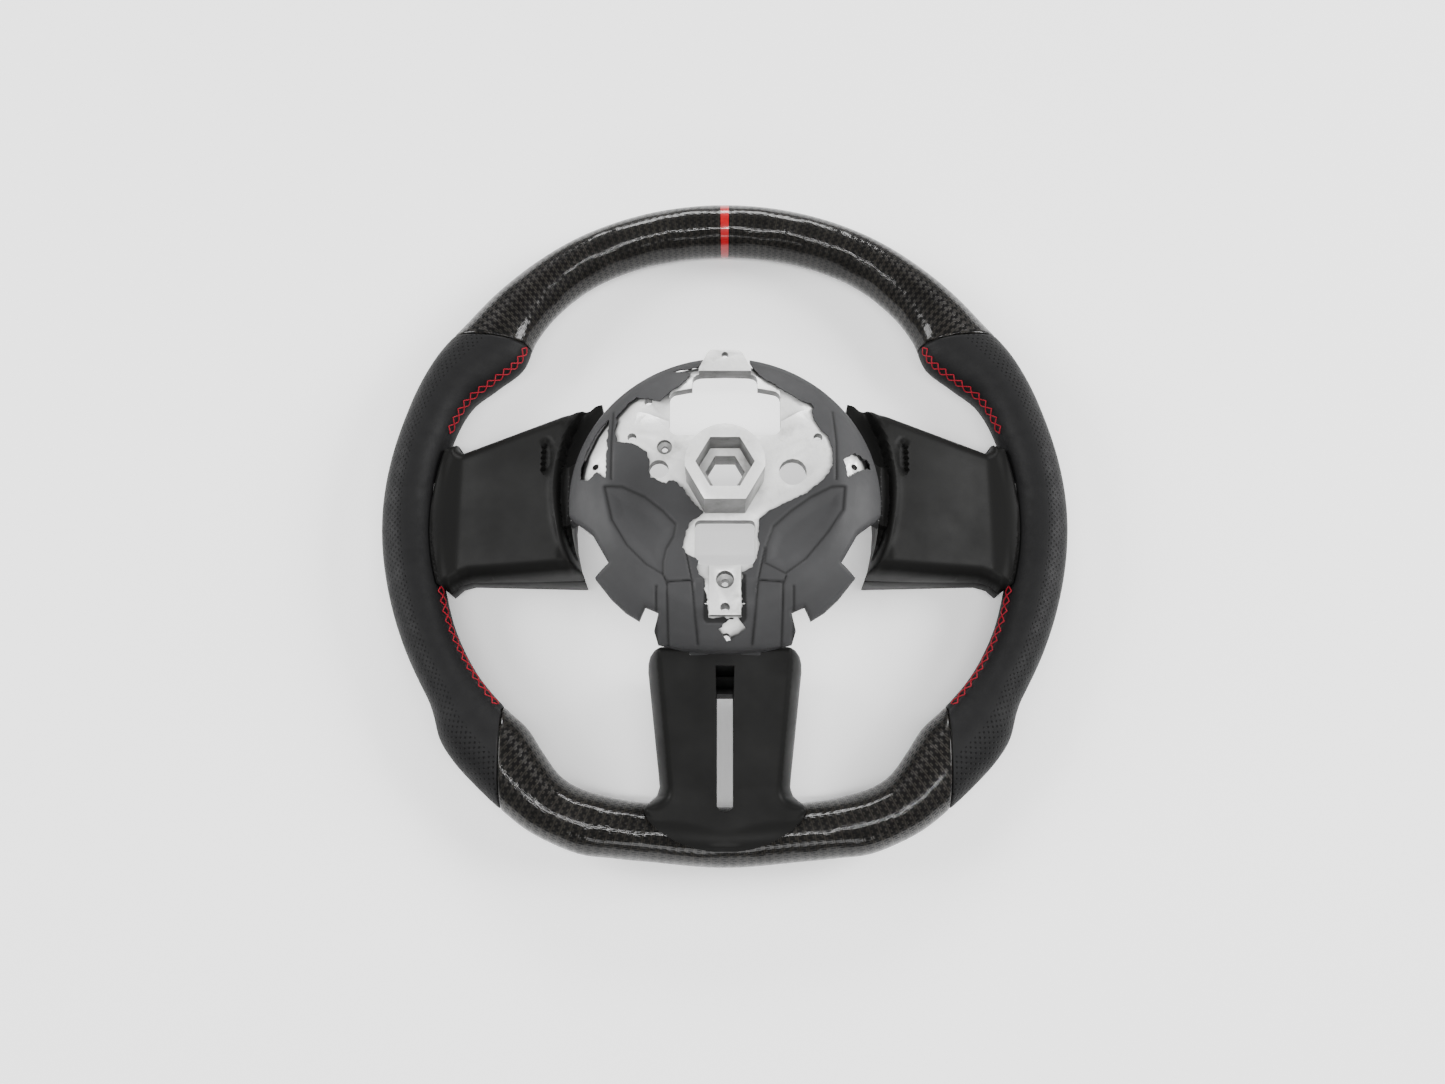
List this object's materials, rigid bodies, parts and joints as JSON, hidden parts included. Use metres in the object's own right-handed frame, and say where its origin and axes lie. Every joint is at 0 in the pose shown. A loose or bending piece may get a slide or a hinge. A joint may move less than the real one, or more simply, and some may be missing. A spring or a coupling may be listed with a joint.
{
  "type": "steering wheel",
  "caption": "Bare three-spoke steering wheel: cast hub with hexagonal socket, moulded skin, carbon and stitched leather rim with a flattened bottom.",
  "frame": {"origin": "on the steering axis, in the plane that the driver's face of the rim lies on", "axes": "+X to the wheel's right as seen from the column side, +Y towards 12 o'clock, +Z along the steering axis towards the column"},
  "size_m": [0.3608, 0.3623, 0.098],
  "materials": {
    "cast_alloy": "bright as-cast, lightly rough",
    "moulded_skin": "satin moulded polyurethane",
    "ring_steel": "drawn rod",
    "rim_foam": "moulded foam",
    "carbon_weave": "twill weave under clear coat",
    "red_stripe": "gloss",
    "grip_leather": "perforated, fine grain",
    "red_thread": "waxed thread",
    "spoke_plastic": "satin",
    "screw_steel": "black oxide"
  },
  "bodies": {
    "root": {"hub_casting": "cast_alloy", "hub_skin": "moulded_skin", "rim_ring": "ring_steel", "rim_foam": "rim_foam", "carbon_top": "carbon_weave", "carbon_bottom": "carbon_weave", "centre_stripe": "red_stripe", "leather_left": "grip_leather", "leather_right": "grip_leather", "stitching_upper_left": "red_thread", "stitching_upper_right": "red_thread", "stitching_lower_left": "red_thread", "stitching_lower_right": "red_thread", "left_spoke_cover": "spoke_plastic", "left_spoke_trim": "spoke_plastic", "left_spoke_screw_1": "screw_steel", "left_spoke_screw_2": "screw_steel", "right_spoke_cover": "spoke_plastic", "right_spoke_trim": "spoke_plastic", "right_spoke_screw_1": "screw_steel", "right_spoke_screw_2": "screw_steel", "lower_spoke_cover": "spoke_plastic", "lower_spoke_trim": "spoke_plastic", "lower_spoke_screw_1": "screw_steel", "lower_spoke_screw_2": "screw_steel"}
  },
  "joints": []
}
